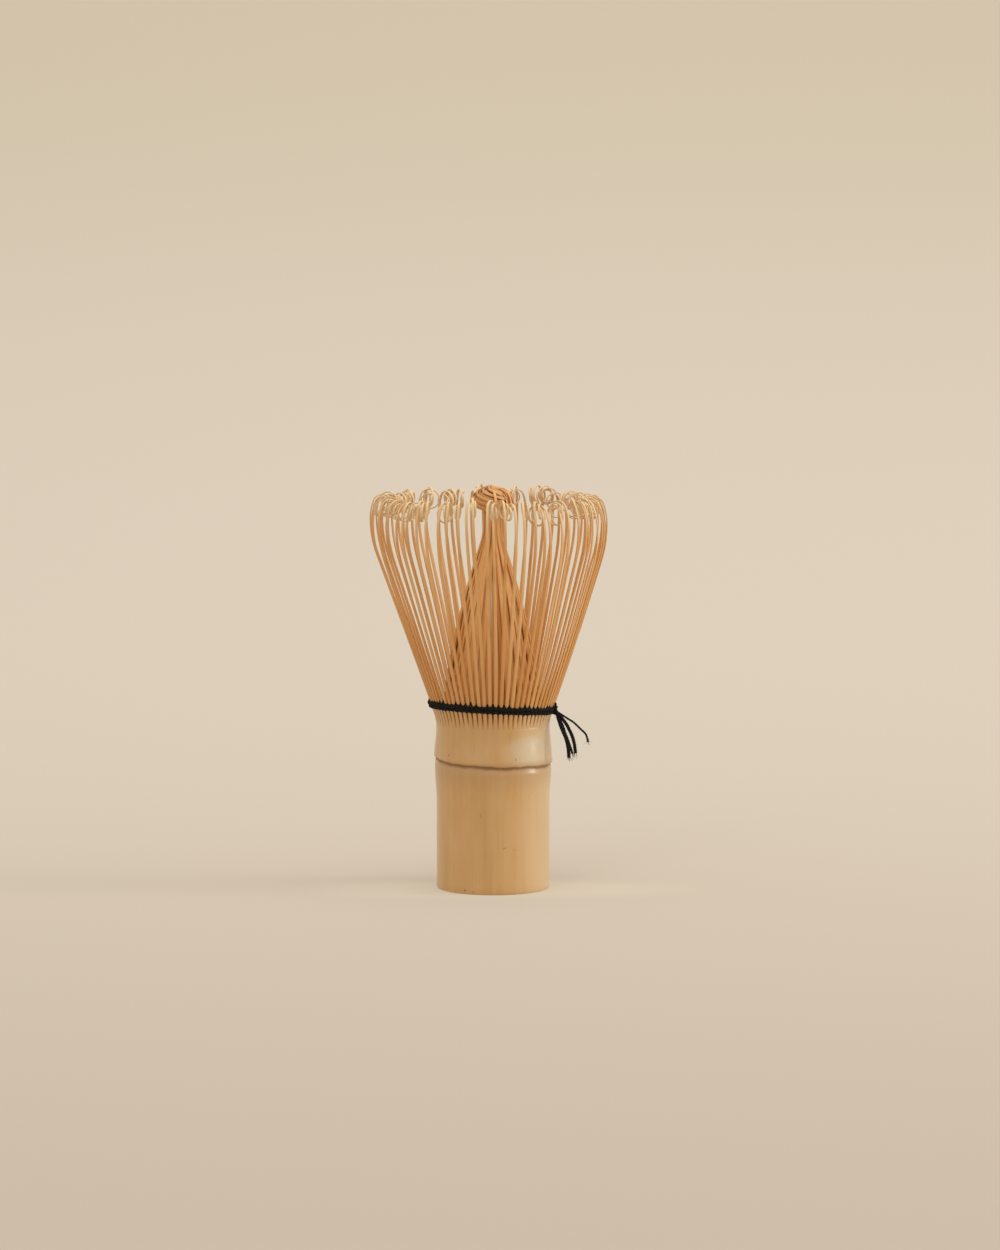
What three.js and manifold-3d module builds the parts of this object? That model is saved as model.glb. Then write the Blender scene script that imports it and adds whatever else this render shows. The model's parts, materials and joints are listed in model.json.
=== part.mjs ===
// A bamboo tea whisk (chasen) standing on its handle. Millimetres, +Z up.
// The origin is the centre of the handle's cut foot.
import * as THREE from "three";
import { mergeVertices } from "three/addons/utils/BufferGeometryUtils.js";
import Module from "manifold-3d";

// ---- driving dimensions ----

// The culm, from its foot up.
const HANDLE_RADIUS = 14.45;
const HOLLOW_RADIUS = 10.8;
const FOOT_BEVEL = 0.4;
const HANDLE_STRAIGHT_TOP = 24.5;
const NODE_BULGE = { radius: 14.9, z: 29.5 };
const NODE_SCAR = { radius: 14.6, z: 33 };
const NODE_LIP = { radius: 15.1, z: 33.6 };
const DIAPHRAGM = { low: 30.5, high: 33.2 };
const NECK = { radius: 14.6, low: 38.5, high: 43 };
const CUP_RADIUS = 12.3;

// The splits. Every outer tine leans out by FLARE, every inner one leans in by CORE_LEAN.
const TINE_COUNT = 72;
const FLARE = THREE.MathUtils.degToRad(19.5);
const SPLIT_RING_TOP = 49.4;
const SPLIT_WIDTH = 0.34;
const OUTER_ROOT_THICKNESS = 0.65;
const INNER_ROOT = { radius: 13.3, thickness: 0.9 };
const LAYER_FORK_Z = 43.8;

// The outer tines, in groups that each flex about one tangential axis.
const OUTER_GROUPS = 18;
const TINES_PER_GROUP = TINE_COUNT / OUTER_GROUPS;
const FLEX_GAP = 0.6;
const TINE = { foot_width: 0.85, tip_width: 0.55, thickness: 0.4 };
const TINE_WEB_HEIGHT = 1.2;
const STRAIGHT_TOP = 83.3;
const SHOULDER_RADIUS = 28;
const LEAN_IN = { radius: 14, turn: THREE.MathUtils.degToRad(30) };
const TIP_LOOP = { radius: 2.4, turn: THREE.MathUtils.degToRad(250) };

// The core: the inner tines, in flat combs that make a cone, and the swirl of their locked tips.
const INNER_COMBS = 12;
const TINES_PER_COMB = TINE_COUNT / INNER_COMBS;
const CORE_FOOT = { radius: 13, z: 50.6 };
const CORE_TOP = { radius: 2.4, z: 97 };
const COMB_THICKNESS = 0.5;
const COMB_GAP = 0.3;
const COMB_SLOT_LENGTH = 28;
const COMB_SLOT_SHARE = 0.34;
const SWIRL = { radius: 3.5, wire: 1.3, foot: 98.6, rise: 2.7, turns: 1.5 };

// The thread. Its turns lie in a slightly tilted plane through the tine roots.
const THREAD_Z = 46.3;
const THREAD_TILT = { x: -0.055, y: -0.06 };
const TURN = { height: 0.72, thickness: 0.6, spacing: 1.0, clearance: 0.3 };
const INNER_TURN = { radius: 14.3, z: 47.6, height: 0.7, thickness: 0.7 };
const KNOT_ANGLE = THREE.MathUtils.degToRad(-12);
const KNOT = { radius: 0.62, wire: 0.3, stand_off: 1.55 };
const END_RADIUS = 0.28;
// Routes of the four loose ends, below and outside the knot.
const THREAD_END_ROUTES = [
  [[18.5, -3.5, 44.8], [19.6, -3.2, 43.3], [21.2, -2.8, 42.0], [23.0, -2.2, 40.0], [24.3, -1.8, 38.4], [24.9, -1.5, 36.2]],
  [[18.4, -4.4, 44.3], [19.0, -4.7, 42.4], [20.0, -5.0, 40.4], [20.8, -5.2, 38.4], [21.3, -5.3, 36.3], [21.6, -5.4, 33.9]],
  [[17.3, -4.5, 43.6], [17.7, -5.3, 41.9], [18.4, -6.1, 40.0], [19.2, -6.6, 37.9], [19.7, -6.9, 35.4], [19.9, -7.0, 32.9]],
  [[17.9, -3.4, 43.4], [18.3, -3.5, 41.6], [18.9, -3.6, 39.6], [19.6, -3.7, 37.6], [20.2, -3.8, 35.6], [20.8, -3.9, 33.6]],
];

// ---- materials ----

const CULM_BAMBOO = new THREE.MeshStandardMaterial({ color: 0xc9a472, roughness: 0.45, metalness: 0 });
const TINE_BAMBOO = new THREE.MeshStandardMaterial({ color: 0xcd9d68, roughness: 0.5, metalness: 0 });
const CORE_BAMBOO = new THREE.MeshStandardMaterial({ color: 0xb87f4a, roughness: 0.55, metalness: 0 });
const COTTON = new THREE.MeshStandardMaterial({ color: 0x1a1816, roughness: 0.9, metalness: 0 });

// ---- helpers ----

const wasm = await Module();
wasm.setup();

const whisk = new THREE.Group();

function addPiece(name, geometry, material) {
  const mesh = new THREE.Mesh(geometry, material);
  mesh.name = name;
  whisk.add(mesh);
}

function toSolid(geometry) {
  const bare = (geometry.index ? geometry.toNonIndexed() : geometry.clone());
  bare.deleteAttribute("normal");
  bare.deleteAttribute("uv");
  const merged = mergeVertices(bare, 1e-4);
  return new wasm.Manifold(new wasm.Mesh({
    numProp: 3,
    vertProperties: merged.attributes.position.array,
    triVerts: new Uint32Array(merged.index.array),
  }));
}

function toGeometry(solid) {
  const mesh = solid.getMesh();
  const geometry = new THREE.BufferGeometry();
  geometry.setAttribute("position", new THREE.BufferAttribute(mesh.vertProperties, 3));
  geometry.setIndex(new THREE.BufferAttribute(mesh.triVerts, 1));
  geometry.computeVertexNormals();
  return geometry;
}

function rectangle(width, height) {
  const shape = new THREE.Shape();
  shape.moveTo(-width / 2, -height / 2);
  shape.lineTo(width / 2, -height / 2);
  shape.lineTo(width / 2, height / 2);
  shape.lineTo(-width / 2, height / 2);
  shape.closePath();
  return shape;
}

// Radius of the tines' outer face at a height within the split ring.
function splitRingRadius(z) {
  return NECK.radius + Math.max(0, z - NECK.high) * Math.tan(FLARE);
}

// ---- the culm ----

// One outline turned round the axis: up the outside, over the outer and the inner roots with the
// fork between them, down into the cup, and back through the hollow handle.
function culmOutline() {
  const forkOuterRadius = splitRingRadius(LAYER_FORK_Z) - OUTER_ROOT_THICKNESS;
  return [
    [0, DIAPHRAGM.low],
    [HOLLOW_RADIUS - 1.6, DIAPHRAGM.low],
    [HOLLOW_RADIUS, DIAPHRAGM.low - 2],
    [HOLLOW_RADIUS, 0],
    [HANDLE_RADIUS - FOOT_BEVEL, 0],
    [HANDLE_RADIUS, FOOT_BEVEL],
    [HANDLE_RADIUS, HANDLE_STRAIGHT_TOP],
    [NODE_BULGE.radius, NODE_BULGE.z],
    [NODE_BULGE.radius, NODE_SCAR.z - 0.6],
    [NODE_SCAR.radius, NODE_SCAR.z],
    [NODE_LIP.radius, NODE_LIP.z],
    [NECK.radius, NECK.low],
    [NECK.radius, NECK.high],
    [splitRingRadius(SPLIT_RING_TOP), SPLIT_RING_TOP],
    [splitRingRadius(SPLIT_RING_TOP) - OUTER_ROOT_THICKNESS, SPLIT_RING_TOP],
    [forkOuterRadius, LAYER_FORK_Z],
    [INNER_ROOT.radius, LAYER_FORK_Z],
    [INNER_ROOT.radius, SPLIT_RING_TOP],
    [INNER_ROOT.radius - INNER_ROOT.thickness, SPLIT_RING_TOP],
    [CUP_RADIUS, NECK.low],
    [CUP_RADIUS - 1.5, DIAPHRAGM.high],
    [0, DIAPHRAGM.high],
  ].map(([radius, z]) => new THREE.Vector2(radius, z));
}

// Turns an outline given as radius and height round +Z.
function turned(outline, segments) {
  return new THREE.LatheGeometry(outline, segments).rotateX(Math.PI / 2);
}

// A knife's cut: pointed below, open above, running radially through both layers of roots.
function splitCutter(angle) {
  const outline = new THREE.Shape();
  outline.moveTo(0, NECK.high - 0.2);
  outline.lineTo(SPLIT_WIDTH / 2, LAYER_FORK_Z + 1.4);
  outline.lineTo(SPLIT_WIDTH / 2, SPLIT_RING_TOP + 1);
  outline.lineTo(-SPLIT_WIDTH / 2, SPLIT_RING_TOP + 1);
  outline.lineTo(-SPLIT_WIDTH / 2, LAYER_FORK_Z + 1.4);
  outline.closePath();
  const reach = { from: 11.5, to: 18.5 };
  const cutter = new THREE.ExtrudeGeometry(outline, { depth: reach.to - reach.from, bevelEnabled: false });
  // The outline's x runs along the tangent, its y up and its depth outwards.
  const upright = new THREE.Matrix4().makeBasis(
    new THREE.Vector3(0, 1, 0), new THREE.Vector3(0, 0, 1), new THREE.Vector3(1, 0, 0));
  return cutter.applyMatrix4(upright).translate(reach.from, 0, 0).rotateZ(angle);
}

function buildCulm() {
  // Half a tine's pitch of turn keeps every cut inside a facet.
  const wall = toSolid(turned(culmOutline(), TINE_COUNT / 2).rotateZ(Math.PI / TINE_COUNT));
  const cuts = [];
  for (let i = 0; i < TINE_COUNT; i += 1) {
    cuts.push(toSolid(splitCutter((i * 2 * Math.PI) / TINE_COUNT)));
  }
  addPiece("culm", toGeometry(wall.subtract(wasm.Manifold.union(cuts))), CULM_BAMBOO);
}

// ---- the outer tines ----

// A curve in the plane of radius (x) and height (z), made of stretches that each turn at a steady
// rate. Its heading is the angle from +Z towards +X. It is sampled once for each step, so that a
// straight stretch costs one step and a tight loop several.
class TineCurve extends THREE.Curve {
  constructor(radius, z, heading, stretches) {
    super();
    this.places = [{ radius, z, heading }];
    for (const { length, turn, steps } of stretches) {
      for (let i = 0; i < steps; i += 1) {
        this.advance(length / steps, turn / steps);
      }
    }
  }

  advance(length, turn) {
    const last = this.places.at(-1);
    const middle = last.heading + turn / 2;
    const chord = turn === 0 ? length : (2 * length * Math.sin(turn / 2)) / turn;
    this.places.push({
      radius: last.radius + chord * Math.sin(middle),
      z: last.z + chord * Math.cos(middle),
      heading: last.heading + turn,
    });
  }

  get steps() {
    return this.places.length - 1;
  }

  getPoint(t, target = new THREE.Vector3()) {
    const place = this.places[Math.round(t * this.steps)];
    return target.set(place.radius, 0, place.z);
  }

  getPointAt(u, target) {
    return this.getPoint(u, target);
  }

  getTangentAt(u, target = new THREE.Vector3()) {
    const { heading } = this.places[Math.round(u * this.steps)];
    return target.set(Math.sin(heading), 0, Math.cos(heading));
  }
}

const OUTER_FOOT_Z = SPLIT_RING_TOP + FLEX_GAP;
const OUTER_FOOT_RADIUS = splitRingRadius(OUTER_FOOT_Z) - OUTER_ROOT_THICKNESS / 2;

function outerTineCurve() {
  return new TineCurve(OUTER_FOOT_RADIUS, OUTER_FOOT_Z, FLARE, [
    { length: (STRAIGHT_TOP - OUTER_FOOT_Z) / Math.cos(FLARE), turn: 0, steps: 1 },
    { length: SHOULDER_RADIUS * FLARE, turn: -FLARE, steps: 2 },
    { length: LEAN_IN.radius * LEAN_IN.turn, turn: -LEAN_IN.turn, steps: 2 },
    { length: TIP_LOOP.radius * TIP_LOOP.turn, turn: -TIP_LOOP.turn, steps: 5 },
  ]);
}

// One tine in the plane y = 0: a flat strip along its curve, narrower towards the tip.
function outerTine() {
  const curve = outerTineCurve();
  const section = rectangle(1, TINE.thickness);
  const geometry = new THREE.ExtrudeGeometry(section, { steps: curve.steps, extrudePath: curve });
  const position = geometry.attributes.position;
  for (let i = 0; i < position.count; i += 1) {
    const share = (position.getZ(i) - OUTER_FOOT_Z) / (STRAIGHT_TOP - OUTER_FOOT_Z);
    const width = THREE.MathUtils.lerp(TINE.foot_width, TINE.tip_width, THREE.MathUtils.clamp(share, 0, 1));
    position.setY(i, position.getY(i) * width);
  }
  return geometry;
}

// A low bar across the tines' feet, which makes a group one piece.
function tineWeb() {
  const halfAngle = (Math.PI / TINE_COUNT) * (TINES_PER_GROUP - 1);
  const width = 2 * OUTER_FOOT_RADIUS * Math.sin(halfAngle) + TINE.foot_width * 0.5;
  const bar = new THREE.BoxGeometry(TINE.thickness, width, TINE_WEB_HEIGHT);
  const sag = OUTER_FOOT_RADIUS * (1 - Math.cos(halfAngle));
  return bar
    .translate(0, 0, TINE_WEB_HEIGHT / 2)
    .rotateY(FLARE)
    .translate(OUTER_FOOT_RADIUS - sag / 2, 0, OUTER_FOOT_Z);
}

function buildOuterTines() {
  const pitch = (2 * Math.PI) / TINE_COUNT;
  const tine = outerTine();
  const strips = [];
  for (let i = 0; i < TINES_PER_GROUP; i += 1) {
    const angle = (i - (TINES_PER_GROUP - 1) / 2) * pitch;
    strips.push(toSolid(tine.clone().rotateZ(angle)));
  }
  const group = toGeometry(wasm.Manifold.union([toSolid(tineWeb()), ...strips]));
  for (let i = 0; i < OUTER_GROUPS; i += 1) {
    const name = `outer_tines_${String(i + 1).padStart(2, "0")}`;
    addPiece(name, group.clone().rotateZ((i * 2 * Math.PI) / OUTER_GROUPS), TINE_BAMBOO);
  }
}

// ---- the core ----

// A comb's outline on its own slope: its feet at y = 0, tines that widen into each other, and a
// plain narrow top.
function combOutline(length, footHalfWidth, topHalfWidth) {
  const pitch = (2 * footHalfWidth) / TINES_PER_COMB;
  const slot = pitch * COMB_SLOT_SHARE;
  const share = COMB_SLOT_LENGTH / length;
  const apexScale = THREE.MathUtils.lerp(1, topHalfWidth / footHalfWidth, share);
  const outline = new THREE.Shape();
  outline.moveTo(-footHalfWidth, 0);
  for (let i = 1; i < TINES_PER_COMB; i += 1) {
    const x = -footHalfWidth + i * pitch;
    outline.lineTo(x - slot / 2, 0);
    outline.lineTo(x * apexScale, COMB_SLOT_LENGTH);
    outline.lineTo(x + slot / 2, 0);
  }
  outline.lineTo(footHalfWidth, 0);
  outline.lineTo(topHalfWidth, length);
  outline.lineTo(-topHalfWidth, length);
  outline.closePath();
  return outline;
}

function buildInnerTines() {
  const rise = CORE_TOP.z - CORE_FOOT.z;
  const lean = Math.atan2(CORE_FOOT.radius - CORE_TOP.radius, rise);
  const length = rise / Math.cos(lean);
  const halfSector = Math.tan(Math.PI / INNER_COMBS);
  const halfWidth = (radius) => (radius - COMB_THICKNESS) * halfSector - COMB_GAP / 2;
  const outline = combOutline(length, halfWidth(CORE_FOOT.radius), halfWidth(CORE_TOP.radius));
  const plate = new THREE.ExtrudeGeometry(outline, { depth: COMB_THICKNESS, bevelEnabled: false });
  // The outline's x runs along the tangent, its y up the slope and its depth outwards.
  const slope = new THREE.Matrix4().makeBasis(
    new THREE.Vector3(0, 1, 0),
    new THREE.Vector3(-Math.sin(lean), 0, Math.cos(lean)),
    new THREE.Vector3(Math.cos(lean), 0, Math.sin(lean)));
  plate.applyMatrix4(slope).translate(CORE_FOOT.radius - COMB_THICKNESS, 0, CORE_FOOT.z);
  for (let i = 0; i < INNER_COMBS; i += 1) {
    const name = `inner_tines_${String(i + 1).padStart(2, "0")}`;
    addPiece(name, plate.clone().rotateZ((i * 2 * Math.PI) / INNER_COMBS), CORE_BAMBOO);
  }
}

// The tips of the core, locked into each other: a short coil.
class SwirlCurve extends THREE.Curve {
  getPoint(t, target = new THREE.Vector3()) {
    const angle = t * SWIRL.turns * 2 * Math.PI;
    return target.set(
      SWIRL.radius * Math.cos(angle), SWIRL.radius * Math.sin(angle), SWIRL.foot + t * SWIRL.turns * SWIRL.rise);
  }
}

function buildSwirl() {
  const section = new THREE.Shape().absarc(0, 0, SWIRL.wire, 0, 2 * Math.PI);
  const options = { steps: 24, curveSegments: 4, extrudePath: new SwirlCurve() };
  addPiece("core_swirl", new THREE.ExtrudeGeometry(section, options), CORE_BAMBOO);
}

// ---- the thread ----

// One turn round the roots, open at the knot. It follows the tilt and the flare.
class TurnCurve extends THREE.Curve {
  constructor(lift, halfOpening) {
    super();
    this.lift = lift;
    this.halfOpening = halfOpening;
  }

  getPoint(t, target = new THREE.Vector3()) {
    const angle = KNOT_ANGLE + THREE.MathUtils.lerp(this.halfOpening, 2 * Math.PI - this.halfOpening, t);
    const unit = new THREE.Vector2(Math.cos(angle), Math.sin(angle));
    const lean = NECK.radius * (THREAD_TILT.x * unit.x + THREAD_TILT.y * unit.y);
    const z = THREAD_Z + this.lift + lean;
    const radius = splitRingRadius(z + TURN.height / 2) + TURN.clearance + TURN.thickness / 2;
    return target.set(radius * unit.x, radius * unit.y, z);
  }
}

class InnerTurnCurve extends THREE.Curve {
  getPoint(t, target = new THREE.Vector3()) {
    const angle = KNOT_ANGLE + THREE.MathUtils.lerp(0.05, 2 * Math.PI - 0.05, t);
    return target.set(INNER_TURN.radius * Math.cos(angle), INNER_TURN.radius * Math.sin(angle), INNER_TURN.z);
  }
}

function strand(curve, width, height, steps) {
  const section = new THREE.Shape().absellipse(0, 0, width / 2, height / 2, 0, 2 * Math.PI);
  return new THREE.ExtrudeGeometry(section, { steps, curveSegments: 3, extrudePath: curve });
}

function buildThread() {
  const opening = 0.09;
  const lower = new TurnCurve(-TURN.spacing / 2, opening);
  const upper = new TurnCurve(TURN.spacing / 2, opening);
  addPiece("thread_lower_turn", strand(lower, TURN.height, TURN.thickness, 48), COTTON);
  addPiece("thread_upper_turn", strand(upper, TURN.height, TURN.thickness, 48), COTTON);
  const inner = strand(new InnerTurnCurve(), INNER_TURN.height, INNER_TURN.thickness, 36);
  addPiece("thread_inner_turn", inner, COTTON);

  const knotRadius = splitRingRadius(THREAD_Z) + KNOT.stand_off;
  const knot = new THREE.TorusKnotGeometry(KNOT.radius, KNOT.wire, 32, 5)
    .rotateY(Math.PI / 2)
    .translate(knotRadius, 0, THREAD_Z - 0.6)
    .rotateZ(KNOT_ANGLE);
  addPiece("thread_knot", knot, COTTON);

  THREAD_END_ROUTES.forEach((route, i) => {
    const curve = new THREE.CatmullRomCurve3(route.map((point) => new THREE.Vector3(...point)));
    addPiece(`thread_end_${i + 1}`, strand(curve, 2 * END_RADIUS, 2 * END_RADIUS, 9), COTTON);
  });
}

buildCulm();
buildOuterTines();
buildInnerTines();
buildSwirl();
buildThread();

export default whisk;
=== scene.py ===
import json
import math
import random

import bmesh
import bpy
from mathutils import Matrix, Quaternion, Vector
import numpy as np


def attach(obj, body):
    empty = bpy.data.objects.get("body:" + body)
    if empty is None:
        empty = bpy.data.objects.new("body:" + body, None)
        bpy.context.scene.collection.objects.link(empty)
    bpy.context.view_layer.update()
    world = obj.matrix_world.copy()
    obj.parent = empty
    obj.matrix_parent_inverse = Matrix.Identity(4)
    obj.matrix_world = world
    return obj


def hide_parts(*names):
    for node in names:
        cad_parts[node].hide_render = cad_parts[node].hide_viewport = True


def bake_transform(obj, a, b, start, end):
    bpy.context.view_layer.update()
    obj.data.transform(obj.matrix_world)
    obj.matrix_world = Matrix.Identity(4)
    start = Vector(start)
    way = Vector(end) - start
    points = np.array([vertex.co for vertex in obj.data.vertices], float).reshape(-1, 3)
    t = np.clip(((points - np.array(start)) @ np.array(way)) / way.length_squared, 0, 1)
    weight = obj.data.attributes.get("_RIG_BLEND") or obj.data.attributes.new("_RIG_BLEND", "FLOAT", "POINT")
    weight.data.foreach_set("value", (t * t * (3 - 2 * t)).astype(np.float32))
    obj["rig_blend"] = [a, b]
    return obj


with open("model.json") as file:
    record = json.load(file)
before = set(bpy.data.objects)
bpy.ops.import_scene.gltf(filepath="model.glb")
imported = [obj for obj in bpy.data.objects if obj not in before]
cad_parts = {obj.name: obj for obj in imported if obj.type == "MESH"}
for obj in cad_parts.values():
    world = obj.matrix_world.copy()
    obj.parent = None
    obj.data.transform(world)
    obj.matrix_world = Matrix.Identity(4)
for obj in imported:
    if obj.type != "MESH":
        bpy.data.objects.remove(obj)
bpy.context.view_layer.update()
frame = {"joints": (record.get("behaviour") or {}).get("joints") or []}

# A bamboo tea whisk: a split culm, its curled outer tines, the gathered core and the thread.
# Sizes are in millimetres and are made metres as each vertex is placed.

MM = 0.001
TAU = 2 * math.pi

# The culm.
HANDLE_RADIUS = 14.45
HOLLOW_RADIUS = 10.8
BULGE_RADIUS = 14.9
SCAR_Z = 33.05
LIP_RADIUS = 15.12
NECK_RADIUS = 14.6
WALL_TOP = 43.4
CUP_RADIUS = 12.3

# Small blots and scratches on the skin, in metres: where, how far they reach each way, how dark.
SKIN_MARKS = (
    ((-0.0072, -0.0127, 0.0010), (0.0005, 0.0008, 0.0006), 0.8),
    ((-0.0050, -0.0137, 0.0007), (0.0004, 0.0008, 0.0004), 0.5),
    ((0.0030, -0.0143, 0.0121), (0.0007, 0.0010, 0.0003), 0.4),
    ((0.0056, -0.0135, 0.0116), (0.0008, 0.0010, 0.0002), 0.35),
    ((-0.0113, -0.0097, 0.0354), (0.0003, 0.0006, 0.0003), 0.75),
    ((0.0058, -0.0139, 0.0348), (0.0003, 0.0006, 0.0005), 0.5),
)
# A painted highlight on the neck, a pale patch where the light from the right reflects: where it is and how
# far it reaches each way.
NECK_PAINTED_HIGHLIGHT = ((0.0098, -0.0104, 0.0366), (0.0080, 0.0080, 0.0048))

# The paper's painted glow is a little stronger round the foot, a painted pool of light that lightens the
# contact shadow there, in metres: how far that reaches and how far forward.
FOOT_PAINTED_LIGHT = {"wide": 0.058, "deep": 0.022, "forward": 0.004}

# The splits, and the bend from the upright neck into the flare.
TINE_COUNT = 72
PITCH = TAU / TINE_COUNT
FLARE = math.radians(19.5)
ROOT_Z = 41.9
ROOT_BEND = 3.6

# The outer tines.
FLEX_JOINTS = [j for j in frame["joints"] if j["name"].startswith("outer_flex")]
TINES_PER_GROUP = TINE_COUNT // len(FLEX_JOINTS)
FLEX_Z = FLEX_JOINTS[0]["pos_m"][2] / MM
OUTER_ROOT_THICK = 0.62
LOOP_TOP = 101.0
LEAN_LEFT = -1.2
LEAN_FROM = 50.0
LEAN_TO = 112.0
PARTING_X = -7.4
NEAR_SHIFT = {"middle": -9.0, "reach": 5.0, "push": 1.4}
FAR_SHIFT = {"middle": -6.4, "reach": 2.6, "push": -2.3}

# The core.
CORE_COMBS = 12
TINES_PER_COMB = TINE_COUNT // CORE_COMBS
CORE_ROOT = {"radius": 12.85, "z": 42.3, "thick": 0.8}
CORE_NECK_Z = 92.0

# The thread.
THREAD_Z = 46.85
THREAD_TILT = (-0.055, -0.06)
KNOT_ANGLE = math.radians(-12)
THREAD_END_ROUTES = (
    ((18.5, -3.5, 44.8), (19.6, -3.2, 43.3), (21.2, -2.8, 42.0), (23.0, -2.2, 40.0),
     (24.3, -1.8, 38.4), (24.9, -1.5, 36.2)),
    ((18.4, -4.4, 44.3), (19.0, -4.7, 42.4), (20.0, -5.0, 40.4), (20.8, -5.2, 38.4),
     (21.3, -5.3, 36.3), (21.6, -5.4, 33.9)),
    ((17.3, -4.5, 43.6), (17.7, -5.3, 41.9), (18.4, -6.1, 40.0), (19.2, -6.6, 37.9),
     (19.7, -6.9, 35.4), (19.9, -7.0, 32.9)),
    ((17.9, -3.4, 43.4), (18.3, -3.5, 41.6), (18.9, -3.6, 39.6), (19.6, -3.7, 37.6),
     (20.2, -3.8, 35.6), (20.8, -3.9, 33.6)),
)
THREAD_END_RADII = (0.3, 0.48, 0.5, 0.36)
TAIL_HANG = Vector((-0.45, 0.0, 0.6))
TAIL_SHORTEN = Vector((0.0, 0.0, 0.22))
FRAY_COUNT = 14
FRAY_LENGTH = 1.1


# ---- shader arithmetic ----

class Field:
    """A number that changes over a surface. Python's arithmetic on it adds Math nodes."""

    def __init__(self, finish, socket):
        self.finish = finish
        self.socket = socket

    def math(self, operation, *values):
        node = self.finish.node("ShaderNodeMath", {"operation": operation}, dict(enumerate(values)))
        return Field(self.finish, node.outputs[0])

    def __add__(self, other):
        return self.math("ADD", self, other)

    __radd__ = __add__

    def __sub__(self, other):
        return self.math("SUBTRACT", self, other)

    def __rsub__(self, other):
        return self.math("SUBTRACT", other, self)

    def __mul__(self, other):
        return self.math("MULTIPLY", self, other)

    __rmul__ = __mul__

    def __abs__(self):
        return self.math("ABSOLUTE", self)

    def rise(self, low, high):
        """0 below low, 1 above high and smooth between."""
        settings = {"interpolation_type": "SMOOTHSTEP"}
        node = self.finish.node("ShaderNodeMapRange", settings, {0: self, 1: low, 2: high, 3: 0.0, 4: 1.0})
        return Field(self.finish, node.outputs[0])


class Finish:
    """One material, built node by node round a Principled shader."""

    def __init__(self, name, **constants):
        self.material = bpy.data.materials.new(name)
        self.material.use_nodes = True
        self.tree = self.material.node_tree
        self.shader = self.tree.nodes["Principled BSDF"]
        for socket, value in constants.items():
            self.shader.inputs[socket.replace("_", " ").title().replace("Ior", "IOR")].default_value = value

    def node(self, kind, settings=None, inputs=None):
        """Adds a node: its settings first, then the values or links of its sockets."""
        node = self.tree.nodes.new(kind)
        for key, value in (settings or {}).items():
            setattr(node, key, value)
        for key, value in (inputs or {}).items():
            self.feed(node.inputs[key], value)
        return node

    def feed(self, socket, value):
        if isinstance(value, Field):
            value = value.socket
        if isinstance(value, bpy.types.NodeSocket):
            self.tree.links.new(value, socket)
        else:
            socket.default_value = value

    def attribute(self, name):
        node = self.node("ShaderNodeAttribute", {"attribute_type": "GEOMETRY", "attribute_name": name})
        return Field(self, node.outputs["Fac"])

    def place(self):
        return self.node("ShaderNodeTexCoord").outputs["Object"]

    def axis(self, number):
        node = self.node("ShaderNodeSeparateXYZ", {}, {0: self.place()})
        return Field(self, node.outputs[number])

    def height(self):
        return self.axis(2)

    def angle_round(self):
        """The angle round the upright axis, from 0 to a full turn."""
        return self.axis(1).math("ARCTAN2", self.axis(1), self.axis(0)) + TAU

    def scaled(self, vector, scale):
        return self.node("ShaderNodeMapping", {}, {"Vector": vector, "Scale": scale}).outputs[0]

    def joined(self, x, y, z):
        return self.node("ShaderNodeCombineXYZ", {}, {0: x, 1: y, 2: z}).outputs[0]

    def noise(self, vector, scale, detail=2.0, roughness=0.5):
        inputs = {"Vector": vector, "Scale": scale, "Detail": detail, "Roughness": roughness}
        return Field(self, self.node("ShaderNodeTexNoise", {}, inputs).outputs[0])

    def mark(self, vector, at, size, ragged):
        """1 in the middle of a small ragged blot and 0 outside it. Its size is in three directions."""
        scale = tuple(1 / side for side in size)
        middle = tuple(here / side for here, side in zip(at, size))
        settings = {"operation": "DISTANCE"}
        node = self.node("ShaderNodeVectorMath", settings, {0: self.scaled(vector, scale), 1: middle})
        off = Field(self, node.outputs["Value"]) + ragged * 0.8
        return 1 - off.rise(0.6, 1.4)

    def mixed(self, share, first, second):
        node = self.node("ShaderNodeMix", {"data_type": "RGBA"}, {0: share, 6: first, 7: second})
        return node.outputs[2]

    def bump(self, height, distance, strength=1.0):
        inputs = {"Height": height, "Distance": distance, "Strength": strength}
        return self.node("ShaderNodeBump", {}, inputs).outputs[0]

    def wear(self, **links):
        """Links what changes over the surface to the shader's own sockets."""
        for name, value in links.items():
            self.feed(self.shader.inputs[name.replace("_", " ").title()], value)
        return self.material


def shade(red, green, blue):
    return (red, green, blue, 1.0)


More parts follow.
